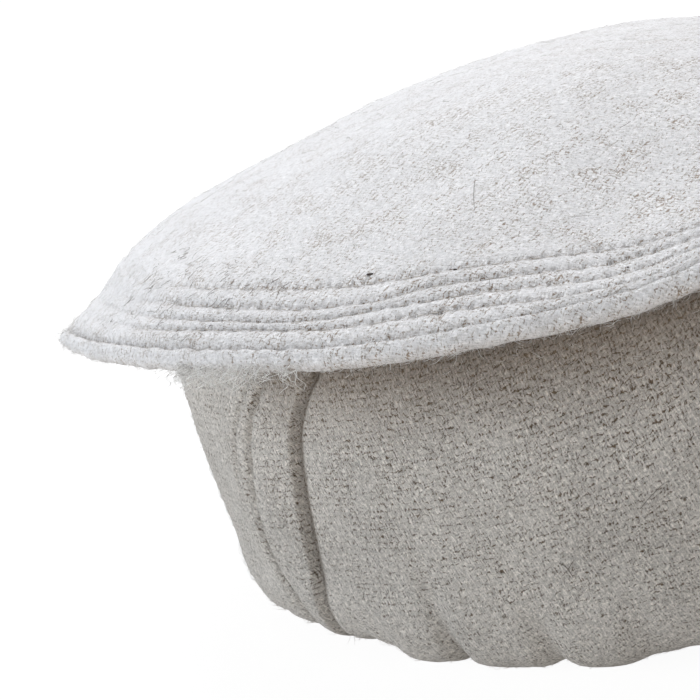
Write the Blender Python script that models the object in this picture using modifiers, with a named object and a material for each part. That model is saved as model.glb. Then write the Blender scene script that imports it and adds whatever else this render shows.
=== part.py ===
"""A pakol: a soft round cap of thick wool cloth.

The crown is a domed disc whose flared brim is two layers of cloth sewn together and ends in a bead.
The head wall is a tube of the same cloth: it leaves the brim's inner edge, comes in to the size of the
head and drops. Its lower part is wound up round it as a thick band, with a lapped seam at the left of
the front.

Each piece is turned about +Z from its section and then pressed out of round: the rim waves up at the
front and droops at the left, the dome is fuller towards the front, and the band bulges at its seam.
Azimuths are in degrees from the front, which is -Y, and grow towards +X, the right of the front.
"""
import math

import bmesh
import bpy

MM = 0.001
COLUMNS = 72  # columns round each turned piece
COLUMN_DEG = 360.0 / COLUMNS

# Driving dimensions, in millimetres
RIM_RADIUS = 139.0
RIM_HEIGHT = 69.3  # mean height of the rim's underside
RIM_BEAD = 4.6  # thickness of the beaded edge
HEAD_RADIUS = 90.0
BAND_TOP = 70.2
CLOTH = 2.4
GAP = 0.4  # between pieces that touch

# The crown's top surface above the rim's underside, along the side and along the front
CROWN_RADIUS = (0, 20, 35, 50, 65, 80, 95, 105, 115, 125, 131, 135.5, RIM_RADIUS)
CROWN_SIDE = (44.6, 43.4, 41.4, 38.2, 34.3, 29.7, 25.3, 22.1, 18.9, 14.9, 9.8, 6.7, RIM_BEAD)
CROWN_FRONT = (44.6, 44.2, 43.3, 42.0, 38.7, 33.2, 25.6, 20.1, 14.6, 9.9, 7.5, 5.9, RIM_BEAD)
CROWN_LEAN = 0.042  # the dome's slope down towards the right
WAVE_POWER = 4.8  # how fast the rim's waves die out towards the middle

# The rim's underside round the cap
RIM_WAVE = (  # azimuth in degrees, height in mm
    (-180, 69.7),
    (-140, 70.0),
    (-110, 67.2),
    (-86, 63.8),
    (-70, 66.9),
    (-55, 68.2),
    (-40, 68.7),
    (-25, 69.0),
    (-14, 71.3),
    (-8, 72.6),
    (-3, 74.4),
    (2, 77.8),
    (12, 81.3),
    (24, 78.6),
    (42, 72.0),
    (75, 69.1),
    (110, 70.1),
    (146, 68.9),
)

# The band's outer side from its top to the floor
BAND_OUTSIDE = (  # height, radius
    (BAND_TOP - 6.2, 99.2),
    (BAND_TOP - 1.8, 102.6),
    (BAND_TOP, 107.0),
    (BAND_TOP - 0.6, 111.5),
    (BAND_TOP - 3.6, 115.0),
    (BAND_TOP - 8.2, 116.1),
    (54.3, 115.8),
    (46.3, 115.0),
    (37.3, 113.8),
    (28.3, 112.0),
    (19.3, 110.0),
    (11.5, 108.8),
    (6.3, 106.9),
    (2.6, 104.4),
    (0.6, 100.6),
    (0.0, 98.0),
)
BAND_FOOT_INSIDE = 95.0  # inner radius of the flat foot that the cap rests on

# The brim is the outer part of the crown, where a second layer is sewn under it
BRIM_FROM = 118.6
BRIM_THICKNESS = 5.0
BRIM_MIDDLE = 126.5

# The head wall's upper and inner side, from the brim to the hem
WALL_OUTLINE = (  # height, radius
    (76.8, 112.0),
    (74.6, 105.0),
    (70.6, 98.5),
    (64.0, 94.5),
    (53.3, 92.6),
    (42.0, 91.6),
    (27.0, 90.8),
    (12.0, 90.2),
    (1.6, HEAD_RADIUS),
)
WALL_FREE = 112.0  # inside this radius it goes with the band, at the brim with the crown

# The band and the head wall's neck go up with the rim where it waves up
FOLLOW_SHARE = 0.75  # of the rim's wave
FOLLOW_HEIGHTS = (30.0, 65.0)  # from no part of it to all of it
FOLLOW_LEAST = -2.0

# The lapped seam on the band
SEAM_EDGE = (  # height, azimuth of the folded edge
    (0.0, -47.8),
    (15.0, -47.7),
    (31.0, -46.1),
    (45.0, -44.6),
    (56.0, -42.0),
    (63.0, -39.6),
)
SEAM_WIDTH = 15.5  # degrees
SEAM_RISE = 2.2
SEAM_COLUMNS = (-45.0, -40.0)  # the two columns that are drawn to the folded edge
SEAM_STEP = 0.45  # half of the step's width, in degrees

# The band's foot is lifted off the floor in places
FOOT_LIFT = (  # azimuth, lift in mm
    (-180, 0.0),
    (-112, 0.0),
    (-88, 1.6),
    (-72, 1.2),
    (-60, 4.6),
    (-52, 4.0),
    (-45, 2.8),
    (-36, 0.4),
    (-30, 0.8),
    (-24, 1.4),
    (-13, 0.0),
    (-5, 3.0),
    (3, 1.2),
    (60, 0.0),
    (120, 0.0),
)
FOOT_LIFT_HEIGHT = 26.0  # the lift dies out at this height

WOOL = (0.60, 0.575, 0.545, 1.0)


def smooth(t):
    """Ease from 0 to 1."""
    t = min(max(t, 0.0), 1.0)
    return t * t * (3.0 - 2.0 * t)


def curve_value(xs, ys, x, period=None):
    """Read a smooth curve through the points (xs, ys) at x. With a period it closes on itself."""
    xs, ys = list(xs), list(ys)
    if period:
        x = (x - xs[0]) % period + xs[0]
        xs = [xs[-1] - period] + xs + [xs[0] + period, xs[1] + period]
        ys = [ys[-1]] + ys + [ys[0], ys[1]]
    x = min(max(x, xs[0]), xs[-1])
    i = max(k for k in range(len(xs) - 1) if xs[k] <= x or k == 0)

    def slope(k):
        low, high = max(k - 1, 0), min(k + 1, len(xs) - 1)
        return (ys[high] - ys[low]) / (xs[high] - xs[low])

    span = xs[i + 1] - xs[i]
    t = (x - xs[i]) / span
    start, end = slope(i) * span, slope(i + 1) * span
    cube, square = t * t * t, t * t
    return (
        (2 * cube - 3 * square + 1) * ys[i]
        + (cube - 2 * square + t) * start
        + (3 * square - 2 * cube) * ys[i + 1]
        + (cube - square) * end
    )


def table_value(table, x, period=None):
    return curve_value([row[0] for row in table], [row[1] for row in table], x, period)


def mean_rise(radius):
    """Height of the crown's top over the rim's underside, before it is pressed out of round."""
    side = curve_value(CROWN_RADIUS, CROWN_SIDE, radius)
    front = curve_value(CROWN_RADIUS, CROWN_FRONT, radius)
    return (side + front) / 2.0


def rim_wave(azimuth):
    return table_value(RIM_WAVE, azimuth, 360.0) - RIM_HEIGHT


def crown_lift(radius, azimuth):
    """How far the crown's surface is pressed up or down from its turned form."""
    turn = math.radians(azimuth)
    part = min(radius / RIM_RADIUS, 1.0)
    side = curve_value(CROWN_RADIUS, CROWN_SIDE, radius)
    front = curve_value(CROWN_RADIUS, CROWN_FRONT, radius)
    across = math.sin(turn) ** 2
    form = across * side + (1.0 - across) * front - mean_rise(radius)
    lean = -CROWN_LEAN * radius * math.sin(turn) * (1.0 - part**2)
    return form + rim_wave(azimuth) * part**WAVE_POWER + lean


def follow_lift(azimuth, height):
    """How far the band and the neck of the head wall go up with the rim."""
    low, high = FOLLOW_HEIGHTS
    share = FOLLOW_SHARE * smooth((height - low) / (high - low))
    return share * max(rim_wave(azimuth), FOLLOW_LEAST)


def seam_azimuth(height):
    return table_value(SEAM_EDGE, height)


def foot_lift(azimuth):
    return max(table_value(FOOT_LIFT, azimuth, 360.0), 0.0)


def turned(name, section, closed, collection):
    """Turn a section of (radius, height) points, in millimetres, about +Z."""
    mesh = bpy.data.meshes.new(name)
    points = [(radius * MM, 0.0, height * MM) for radius, height in section]
    edges = [(i, i + 1) for i in range(len(points) - 1)]
    if closed:
        edges.append((len(points) - 1, 0))
    mesh.from_pydata(points, edges, [])
    profile = bpy.data.objects.new(name + "_section", mesh)
    collection.objects.link(profile)
    screw = profile.modifiers.new("turn", "SCREW")
    screw.axis = "Z"
    screw.steps = COLUMNS
    screw.render_steps = COLUMNS
    screw.use_merge_vertices = True
    screw.merge_threshold = 0.00001
    screw.use_smooth_shade = True
    evaluated = profile.evaluated_get(bpy.context.evaluated_depsgraph_get())
    solid = bpy.data.objects.new(name, bpy.data.meshes.new_from_object(evaluated))
    solid.data.name = name
    collection.objects.link(solid)
    bpy.data.objects.remove(profile)
    return solid


def press(solid, place):
    """Move each point of a turned piece: place maps (radius, azimuth, height) to the same, in mm."""
    shape = bmesh.new()
    shape.from_mesh(solid.data)
    for point in shape.verts:
        radius = math.hypot(point.co.x, point.co.y) / MM
        azimuth = math.degrees(math.atan2(point.co.x, -point.co.y))
        radius, azimuth, height = place(radius, azimuth, point.co.z / MM)
        turn = math.radians(azimuth)
        point.co = (radius * math.sin(turn) * MM, -radius * math.cos(turn) * MM, height * MM)
    bmesh.ops.recalc_face_normals(shape, faces=shape.faces)
    shape.to_mesh(solid.data)
    shape.free()


def offset_line(line, distance):
    """A line of (radius, height) points moved sideways, to its left as it runs."""
    moved = []
    for i, (radius, height) in enumerate(line):
        before, after = line[max(i - 1, 0)], line[min(i + 1, len(line) - 1)]
        along, up = after[0] - before[0], after[1] - before[1]
        length = math.hypot(along, up)
        moved.append((radius - up / length * distance, height + along / length * distance))
    return moved


def crown_top_line(radii):
    return [(radius, RIM_HEIGHT + mean_rise(radius)) for radius in radii]


def crown_section():
    """From the axis out along the top, round the bead and back along the underside to the axis."""
    top = crown_top_line((0, 14, 28, 42, 56, 70, 84, 97, 108, 117, 125, 132, 136.6))
    middle = RIM_HEIGHT + RIM_BEAD * 0.7
    bead = [(RIM_RADIUS, middle), (RIM_RADIUS - 0.8, RIM_HEIGHT + 1.2), (RIM_RADIUS - 3.4, RIM_HEIGHT)]
    brim = crown_top_line((132.5, BRIM_MIDDLE, BRIM_FROM))
    brim = [(radius, height - BRIM_THICKNESS) for radius, height in brim]
    under = crown_top_line((BRIM_FROM, 109, 96, 80, 62, 40, 18, 0))
    under = [(radius, height - CLOTH) for radius, height in under]
    return top + bead + brim + under


def crown_place(radius, azimuth, height):
    return radius, azimuth, height + crown_lift(radius, azimuth)


def wall_section():
    """The head wall from the brim's inner edge to the hem, as one strip of cloth."""
    edge = crown_top_line((BRIM_FROM - GAP,))[0]
    upper = [(edge[0], edge[1] - CLOTH - GAP)]
    upper += [(radius, height) for height, radius in WALL_OUTLINE]
    lower = offset_line(upper, CLOTH - 0.2)
    lower[0] = (upper[0][0], upper[0][1] - CLOTH + 0.2)
    return upper[::-1] + lower


def wall_place(radius, azimuth, height):
    sewn = smooth((radius - WALL_FREE) / (BRIM_FROM - GAP - WALL_FREE))
    with_crown = crown_lift(radius, azimuth) * sewn
    return radius, azimuth, height + with_crown + follow_lift(azimuth, height) * (1.0 - sewn)


def band_section():
    """The wound band: its outer side from the top down, its foot, and back up along the wall."""
    outside = [(radius, height) for height, radius in BAND_OUTSIDE]
    wall = [(radius + CLOTH - 0.2 + GAP, height) for height, radius in WALL_OUTLINE if height < 60.0]
    inside = [(BAND_FOOT_INSIDE, 0.0), (wall[-1][0] + 0.5, 1.2)] + wall[-2::-1]
    return outside + inside


def seam_column(azimuth, height):
    """Draw the two columns beside the seam to its folded edge, and their neighbours part of the way."""
    edge = seam_azimuth(height)
    low, high = SEAM_COLUMNS
    if low - 0.1 <= azimuth <= low + 0.1:
        return edge - SEAM_STEP
    if high - 0.1 <= azimuth <= high + 0.1:
        return edge + SEAM_STEP
    middle = (low + high) / 2.0
    away = abs(azimuth - middle) - (high - low) / 2.0
    return azimuth + (edge - middle) * 0.7 * (1.0 - smooth(away / 20.0))


def band_place(radius, azimuth, height):
    wall = curve_value([0.0, BAND_TOP], [HEAD_RADIUS + 3.0, HEAD_RADIUS + 6.0], height)
    outward = smooth((radius - wall) / 9.0)
    azimuth = seam_column(azimuth, height)
    behind = seam_azimuth(height) - azimuth
    if behind > 0.0:
        radius += SEAM_RISE * outward * (1.0 - smooth((behind - SEAM_WIDTH + 5.0) / 5.0))
    lift = foot_lift(azimuth) * (1.0 - smooth(height / FOOT_LIFT_HEIGHT)) + follow_lift(azimuth, height)
    return radius, azimuth, height + lift


def wool():
    material = bpy.data.materials.new("wool")
    material.use_nodes = True
    shader = material.node_tree.nodes["Principled BSDF"]
    shader.inputs["Base Color"].default_value = WOOL
    shader.inputs["Roughness"].default_value = 0.95
    shader.inputs["Metallic"].default_value = 0.0
    return material


def build():
    for old in list(bpy.data.objects):
        bpy.data.objects.remove(old)
    pakol = bpy.data.collections.new("pakol")
    bpy.context.scene.collection.children.link(pakol)
    cloth = wool()
    pieces = (
        ("crown", crown_section(), False, crown_place),
        ("head_wall", wall_section(), True, wall_place),
        ("rolled_band", band_section(), True, band_place),
    )
    for name, section, closed, place in pieces:
        solid = turned(name, section, closed, pakol)
        press(solid, place)
        solid.data.materials.clear()
        solid.data.materials.append(cloth.copy())


build()
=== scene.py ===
"""The looks of a pakol: thick wool cloth over the crown, the rolled band and the head wall.

Each cloth piece is a fine lattice on the same tables as its solid: the crown has its rows of stitches and
its bead, the band its lapped seam. Over them lie fibres, hairs and stitch threads.
Lengths are in millimetres until a mesh is made. Azimuths are in degrees from the front, which is -Y, and
grow towards +X.
"""
import math

import bpy
import numpy as np
from mathutils import Matrix


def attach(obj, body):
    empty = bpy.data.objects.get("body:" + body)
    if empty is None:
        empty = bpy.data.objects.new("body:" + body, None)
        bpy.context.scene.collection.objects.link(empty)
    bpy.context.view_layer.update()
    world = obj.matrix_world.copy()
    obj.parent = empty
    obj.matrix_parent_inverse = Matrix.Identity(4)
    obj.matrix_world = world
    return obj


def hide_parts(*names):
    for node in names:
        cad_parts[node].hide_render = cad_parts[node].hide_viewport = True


MM = 0.001

# The cap's form, as in its solids
RIM_RADIUS = 139.0
RIM_HEIGHT = 69.3
HEAD_RADIUS = 90.0
BAND_TOP = 70.2
CLOTH = 2.4
GAP = 0.4
CROWN_RADIUS = (0, 20, 35, 50, 65, 80, 95, 105, 115, 125, 131, 135.5, RIM_RADIUS)
CROWN_SIDE = (44.6, 43.4, 41.4, 38.2, 34.3, 29.7, 25.3, 22.1, 18.9, 14.9, 9.8, 6.7, 4.6)
CROWN_FRONT = (44.6, 44.2, 43.3, 42.0, 38.7, 33.2, 25.6, 20.1, 14.6, 9.9, 7.5, 5.9, 4.6)
CROWN_LEAN = 0.042
WAVE_POWER = 4.8
RIM_WAVE = (  # azimuth, height of the rim's underside
    (-180, 69.7), (-140, 70.0), (-110, 67.2), (-86, 63.8), (-70, 66.9), (-55, 68.2), (-40, 68.7),
    (-25, 69.0), (-14, 71.3), (-8, 72.6), (-3, 74.4), (2, 77.8), (12, 81.3), (24, 78.6), (42, 72.0),
    (75, 69.1), (110, 70.1), (146, 68.9),
)
BAND_OUTSIDE = (  # height, radius
    (BAND_TOP - 6.2, 99.2), (BAND_TOP - 1.8, 102.6), (BAND_TOP, 107.0), (BAND_TOP - 0.6, 111.5),
    (BAND_TOP - 3.6, 115.0), (BAND_TOP - 8.2, 116.1), (54.3, 115.8), (46.3, 115.0), (37.3, 113.8),
    (28.3, 112.0), (19.3, 110.0), (11.5, 108.8), (6.3, 106.9), (2.6, 104.4), (0.6, 100.6), (0.0, 98.0),
)
BAND_FOOT_INSIDE = 95.0
BRIM_FROM = 118.6
BRIM_THICKNESS = 5.0
WALL_OUTLINE = (  # height, radius
    (76.8, 112.0), (74.6, 105.0), (70.6, 98.5), (64.0, 94.5), (53.3, 92.6), (42.0, 91.6), (27.0, 90.8),
    (12.0, 90.2), (1.6, HEAD_RADIUS),
)
WALL_FREE = 112.0  # out from here the head wall nears the crown that it is sewn to
FOLLOW_SHARE = 0.75  # how far the band and the head wall follow the rim's wave at the top
FOLLOW_HEIGHTS = (30.0, 65.0)  # between these heights they begin to
FOLLOW_LEAST = -2.0
SEAM_RISE = 1.6
FOOT_LIFT = (  # azimuth, lift
    (-180, 0.0), (-112, 0.0), (-88, 1.6), (-72, 1.2), (-60, 3.9), (-52, 3.7), (-48, 2.6), (-45, 3.8),
    (-42, 2.2), (-39.7, 0.3), (-37, 0.0), (-34.3, 0.5), (-30, 0.2), (-27, 0.1), (-24, 0.4), (-22, 0.2),
    (-18, 0.1), (-14.7, 0.0), (-9.5, 1.1), (-5, 3.4), (3, 1.2), (60, 0.0), (120, 0.0),
)
FOOT_LIFT_HEIGHT = 26.0

# Rows of stitches round the brim, from the edge inwards: azimuth, radius
ROWS = (
    ((-180, 138.0), (-80, 138.0), (-60, 137.7), (-45, 137.9), (-18, 138.2), (10, 138.2), (60, 138.0)),
    ((-180, 134.0), (-80, 134.2), (-60, 134.5), (-50, 134.6), (-38, 133.9), (-28, 134.0), (-18, 132.9),
     (-9, 134.6), (-3, 135.8), (10, 135.4), (30, 134.0), (90, 134.0)),
    ((-180, 130.2), (-80, 130.8), (-60, 131.7), (-50, 131.9), (-33, 131.9), (-23, 129.4), (-16, 128.7),
     (-11, 129.5), (-5, 131.0), (12, 130.8), (30, 130.2), (90, 130.2)),
    ((-180, 126.2), (-80, 127.6), (-60, 129.2), (-50, 129.0), (-34, 128.9), (-26, 127.6), (-21, 125.4),
     (-12, 124.9), (-5, 126.0), (12, 126.6), (30, 126.2), (90, 126.2)),
    ((-180, 121.8), (-80, 123.4), (-60, 125.6), (-46, 125.2), (-32, 123.6), (-22, 121.5), (-12, 120.2),
     (-4, 121.8), (12, 122.2), (30, 121.8), (90, 121.8)),
)
ROW_COUNT = len(ROWS)
ROW_DEPTH = 0.42
RIDGE_HEIGHT = 0.26
STITCH_COUNT = 304  # in each row
STITCH_SHARE = 0.66  # of a stitch's length is seen
THREAD_RADIUS = 0.11

# The lapped seam: height, azimuth of the folded edge, and how far behind it its two grooves lie
SEAM_EDGE = (
    (0.0, -49.8), (6.0, -49.1), (12.0, -48.5), (20.0, -47.6), (31.0, -46.4), (45.0, -44.8), (51.0, -43.8),
    (58.0, -41.4), (63.0, -39.1),
)
SEAM_FIRST = ((0, 4.0), (10.7, 4.4), (15.6, 6.3), (20, 7.2), (25, 7.7), (33, 7.7), (45, 7.0), (62, 6.6))
SEAM_SECOND = ((0, 11.7), (11, 11.8), (20, 12.3), (34, 11.5), (44, 10.1), (53, 9.3), (62, 9.1))
SEAM_TOP = 63.0  # the seam runs straight up above this
SEAM_FADE = 15.5  # degrees behind the edge where the lap's rise has gone

# The cloth: a 2/2 twill
WARP = 0.67
WEFT = 1.36
CROWN_WARP_TURN = 43.0  # degrees from +X, seen from above
BAND_WARP_TURN = 4.0
BAND_MM_PER_DEGREE = 1.972
BAND_ROW_RISE = 5.0  # the cloth's rows rise towards the front

# The camera
CAMERA_DISTANCE = 550.0
CAMERA_ELEVATION = 9.3
CAMERA_ROLL = 8.0
PIVOT_HEIGHT = 53.5
PIVOT_PIXEL = (694.0, 293.0)
FOCAL_PIXELS = 2442.0
PICTURE_SIDE = 700.0
SENSOR = 36.0

rng = np.random.default_rng(7)


def smooth(t):
    t = np.clip(t, 0.0, 1.0)
    return t * t * (3.0 - 2.0 * t)


def curve(xs, ys, x, period=None):
    """Read a smooth curve through the points (xs, ys) at the numbers x."""
    xs, ys = np.array(xs, float), np.array(ys, float)
    if period:
        x = (x - xs[0]) % period + xs[0]
        xs = np.concatenate(([xs[-1] - period], xs, [xs[0] + period, xs[1] + period]))
        ys = np.concatenate(([ys[-1]], ys, [ys[0], ys[1]]))
    x = np.clip(x, xs[0], xs[-1])
    i = np.clip(np.searchsorted(xs, x, side="right") - 1, 0, len(xs) - 2)
    k = np.arange(len(xs))
    low, high = np.maximum(k - 1, 0), np.minimum(k + 1, len(xs) - 1)
    slope = (ys[high] - ys[low]) / (xs[high] - xs[low])
    span = xs[i + 1] - xs[i]
    t = (x - xs[i]) / span
    cube, square = t**3, t**2
    return (
        (2 * cube - 3 * square + 1) * ys[i]
        + (cube - 2 * square + t) * slope[i] * span
        + (3 * square - 2 * cube) * ys[i + 1]
        + (cube - square) * slope[i + 1] * span
    )


def table(rows, x, period=None):
    return curve([row[0] for row in rows], [row[1] for row in rows], x, period)


def wobble(azimuth, seed, waves):
    """A smooth random curve round the cap, about -1 to 1. waves is (least, most) waves in a turn."""
    turn = np.radians(azimuth)
    own = np.random.default_rng(seed)
    total = np.zeros_like(turn)
    counts = np.arange(waves[0], waves[1] + 1)
    for count in counts:
        total = total + own.normal() * np.sin(count * turn + own.uniform(0, 2 * math.pi))
    return total / math.sqrt(len(counts) / 2.0) / 2.0


def rim_wave(azimuth):
    return table(RIM_WAVE, azimuth, 360.0) - RIM_HEIGHT


def crown_top(radius, azimuth):
    """Height of the crown's outer surface."""
    turn = np.radians(azimuth)
    part = np.minimum(radius / RIM_RADIUS, 1.0)
    across = np.sin(turn) ** 2
    side = curve(CROWN_RADIUS, CROWN_SIDE, radius)
    front = curve(CROWN_RADIUS, CROWN_FRONT, radius)
    lean = -CROWN_LEAN * radius * np.sin(turn) * (1.0 - part**2)
    return RIM_HEIGHT + across * side + (1.0 - across) * front + rim_wave(azimuth) * part**WAVE_POWER + lean


def follow_lift(azimuth, height):
    low, high = FOLLOW_HEIGHTS
    share = FOLLOW_SHARE * smooth((height - low) / (high - low))
    return share * np.maximum(rim_wave(azimuth), FOLLOW_LEAST)


def ring_point(radius, azimuth, height):
    turn = np.radians(azimuth)
    return np.stack(np.broadcast_arrays(radius * np.sin(turn), -radius * np.cos(turn), height), axis=-1)


def lattice(name, grid, uv, poles=None, closed=False):
    """A mesh from rings of points. grid is rows x columns x 3; uv has one more column, for the wrap.

    poles is (point, its uv) before the first ring and after the last. closed joins the last ring to the
    first, and uv then has one more row too.
    """
    rows, columns = grid.shape[:2]
    points = grid.reshape(-1, 3)
    index = np.arange(rows * columns).reshape(rows, columns)
    if closed:
        index = np.vstack([index, index[:1]])
    right = np.roll(index, -1, axis=1)
    quads = np.stack([index[:-1], index[1:], right[1:], right[:-1]], axis=-1).reshape(-1, 4)
    left_uv, right_uv = uv[:, :-1], uv[:, 1:]
    quad_uv = np.stack([left_uv[:-1], left_uv[1:], right_uv[1:], right_uv[:-1]], axis=2).reshape(-1, 2)
    faces = quads.tolist()
    all_uv = [quad_uv]
    if poles:
        first = (index[0], right[0], left_uv[0], right_uv[0])
        last = (right[-1], index[-1], right_uv[-1], left_uv[-1])
        for number, (one, two, one_uv, two_uv) in enumerate((first, last)):
            point, point_uv = poles[number]
            points = np.vstack([points, point])
            middle = np.full(columns, rows * columns + number)
            faces += np.stack([middle, one, two], axis=1).tolist()
            fan = np.stack([np.broadcast_to(point_uv, (columns, 2)), one_uv, two_uv], axis=1)
            all_uv.append(fan.reshape(-1, 2))
    return make_mesh(name, points, faces, np.vstack(all_uv))


def link(thing):
    bpy.context.scene.collection.objects.link(thing)
    return thing


def make_mesh(name, points, faces, uv=None):
    mesh = bpy.data.meshes.new(name)
    mesh.from_pydata((np.asarray(points) * MM).tolist(), [], faces)
    if uv is not None:
        layer = mesh.uv_layers.new(name="cloth")
        layer.data.foreach_set("uv", np.asarray(uv, np.float32).ravel())
    mesh.polygons.foreach_set("use_smooth", np.ones(len(mesh.polygons), bool))
    mesh.update()
    return link(bpy.data.objects.new(name, mesh))


def set_values(thing, name, rings):
    """Give each point of a mesh a number, which its material reads by name."""
    values = np.concatenate(rings).astype(np.float32)
    thing.data.attributes.new(name, "FLOAT", "POINT").data.foreach_set("value", values)


def turned_uv(u, v, degrees):
    sine, cosine = math.sin(math.radians(degrees)), math.cos(math.radians(degrees))
    return np.stack([u * cosine + v * sine, v * cosine - u * sine], axis=-1)


# The crown

CROWN_COLUMNS = 1080
RIDGE_STEPS = (0.0, 0.1, 0.26, 0.44, 0.62, 0.78, 0.91)
BEAD = (  # out from the first row of stitches, height above the rim's underside
    (0.35, 4.25), (0.8, 4.15), (1.3, 3.75), (1.65, 3.1), (1.8, 2.3), (1.7, 1.45), (1.4, 0.85), (0.95, 0.4),
    (0.3, 0.1), (-0.6, -0.05), (-1.8, -0.1),
)
TIP_AZIMUTH = -88.0  # at the left side the brim thins towards its edge
TIP_RADIUS = 129.0
TIP_RISE = 1.6
TIP_SINK = 1.3
FIRST_ROW_DROP = 1.0  # the first row of stitches lies this far below the crown's solid
DOME_RADII = (4.0, 104.0)  # first and last of the dome's rings
DOME_RINGS = 14
APRON_FROM = 108.0  # from here to the innermost row the cloth swells a little
APRON_RINGS = 9
APRON_SWELL = 0.2
LUMP_HEIGHT = 0.1
GROOVE_WIDTH = 0.17  # as a share of the way from one row to the next
UNDER_GROOVE = 0.45
UNDER_STEPS = ((0.0, UNDER_GROOVE), (0.2, 0.0), (0.5, -0.28), (0.8, 0.0))  # share of the way, rise
UNDER_EDGE = RIM_RADIUS - 4.6
UNDER_RADII = (110.0, 94.0, 78.0, 60.0, 40.0, 20.0)
UNDER_SHADE = 0.5  # painted shade: how much darker the cloth is painted under the brim
BEAD_SHADE = 0.68  # and under the bead


def row_radius(row, azimuth):
    """Radius of a row of stitches, counted from the edge inwards."""
    unsteady = 0.16 * wobble(azimuth, 20 + row, (9, 60)) * (0.6 if row == 0 else 1.0)
    return table(ROWS[row], azimuth, 360.0) + unsteady


def crown_relief(radius, azimuth):
    """Soft unevenness of the crown's cloth."""
    x, y = radius * np.sin(np.radians(azimuth)), radius * np.cos(np.radians(azimuth))
    swell = np.zeros_like(x)
    own = np.random.default_rng(3)
    for _ in range(14):
        length = own.uniform(22.0, 70.0)
        turn = own.uniform(0, 2 * math.pi)
        along = (x * math.cos(turn) + y * math.sin(turn)) * 2 * math.pi / length
        swell = swell + np.sin(along + own.uniform(0, 6.3))
    return 0.085 * swell


def crown_rings(azimuth):
    """Rings of (radius, relief, drop, groove) over the crown's top, out to the first row of stitches."""
    dome = np.linspace(*DOME_RADII, DOME_RINGS)
    rings = [(np.full_like(azimuth, radius), 0.0, 0.0, 0.0) for radius in dome]
    last = row_radius(ROW_COUNT - 1, azimuth)
    for share in np.linspace(0.0, 1.0, APRON_RINGS, endpoint=False):
        lumps = LUMP_HEIGHT * share * wobble(azimuth, 200 + int(share * 100), (50, 300))
        rings.append((APRON_FROM + (last - APRON_FROM) * share, APRON_SWELL * share**3 + lumps, 0.0, 0.0))
    # The rows are worn flatter round the left side
    flat = 0.75 * smooth((-45.0 - azimuth) / 14.0) * smooth((azimuth + 135.0) / 22.0)
    for row in range(ROW_COUNT - 1, 0, -1):
        inner, outer = row_radius(row, azimuth), row_radius(row - 1, azimuth)
        depth = ROW_DEPTH * (1.0 + 0.5 * wobble(azimuth, 60 + row, (20, 240)))
        for share in RIDGE_STEPS:
            groove = sum(math.exp(-((away / GROOVE_WIDTH) ** 2)) for away in (share, 1 - share))
            lumps = LUMP_HEIGHT * wobble(azimuth, 80 + row * 10 + int(share * 9), (60, 320))
            relief = RIDGE_HEIGHT * math.sin(math.pi * share) ** 1.4 - depth * groove + lumps
            kept = 1.0 - flat * (1.0 - 0.6 * share if row == 1 else 1.0)
            drop = FIRST_ROW_DROP * share**2.2 if row == 1 else 0.0
            rings.append((inner + (outer - inner) * share, relief * kept, drop, groove * kept))
    rings.append((row_radius(0, azimuth), -ROW_DEPTH, FIRST_ROW_DROP, 1.0))
    return rings


def crown_point(radius, azimuth, relief):
    """A point over the crown's top, relief along its normal."""
    height = crown_top(radius, azimuth)
    slope = crown_top(radius + 0.5, azimuth) - crown_top(radius - 0.5, azimuth)
    length = np.sqrt(1.0 + slope**2)
    calm = smooth((RIM_RADIUS - radius) / 30.0)
    relief = relief + crown_relief(radius, azimuth) * (0.4 + 0.6 * calm)
    thin = np.exp(-(((radius - TIP_RADIUS) / 9.0) ** 2) - ((azimuth - TIP_AZIMUTH) / 30.0) ** 2)
    relief = relief - TIP_SINK * thin
    return ring_point(radius - slope / length * relief, azimuth, height + relief / length)


def bead_rings(azimuth):
    """Rings of points down and under the bead at the crown's edge."""
    edge = row_radius(0, azimuth)
    rim = RIM_HEIGHT + rim_wave(azimuth)
    bulge = 1.0 + 0.18 * wobble(azimuth, 31, (30, 200))
    lumps = 0.24 * wobble(azimuth, 32, (20, 170))
    tip = TIP_RISE * np.exp(-(((azimuth - TIP_AZIMUTH) / 21.0) ** 2))
    rings = []
    for out, height in BEAD:
        rise = tip * (1.0 - max(height, 0.0) / BEAD[0][1])
        rings.append(ring_point(edge + out * bulge, azimuth, rim + height + lumps + rise))
    return rings


def under_rings(azimuth):
    """Rings of points under the brim, with its rows of stitches, and on under the dome."""
    rings = []
    for row in range(ROW_COUNT):
        radius = row_radius(row, azimuth)
        if row == 0:
            radius = np.minimum(radius, UNDER_EDGE)
        innermost = row == ROW_COUNT - 1
        inner = radius if innermost else np.minimum(row_radius(row + 1, azimuth), radius - 1.0)
        for share, rise in UNDER_STEPS[:1] if innermost else UNDER_STEPS:
            between = radius + (inner - radius) * share
            rings.append(ring_point(between, azimuth, crown_top(between, azimuth) - BRIM_THICKNESS + rise))
    edge = ((BRIM_FROM + 0.6, 4.9), (BRIM_FROM, 4.2), (BRIM_FROM, 3.0), (BRIM_FROM - 0.5, CLOTH))
    for radius, thick in edge + tuple((radius, CLOTH) for radius in UNDER_RADII):
        top = crown_top(np.full_like(azimuth, radius), azimuth)
        rings.append(ring_point(radius, azimuth, top - thick))
    return rings


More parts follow.
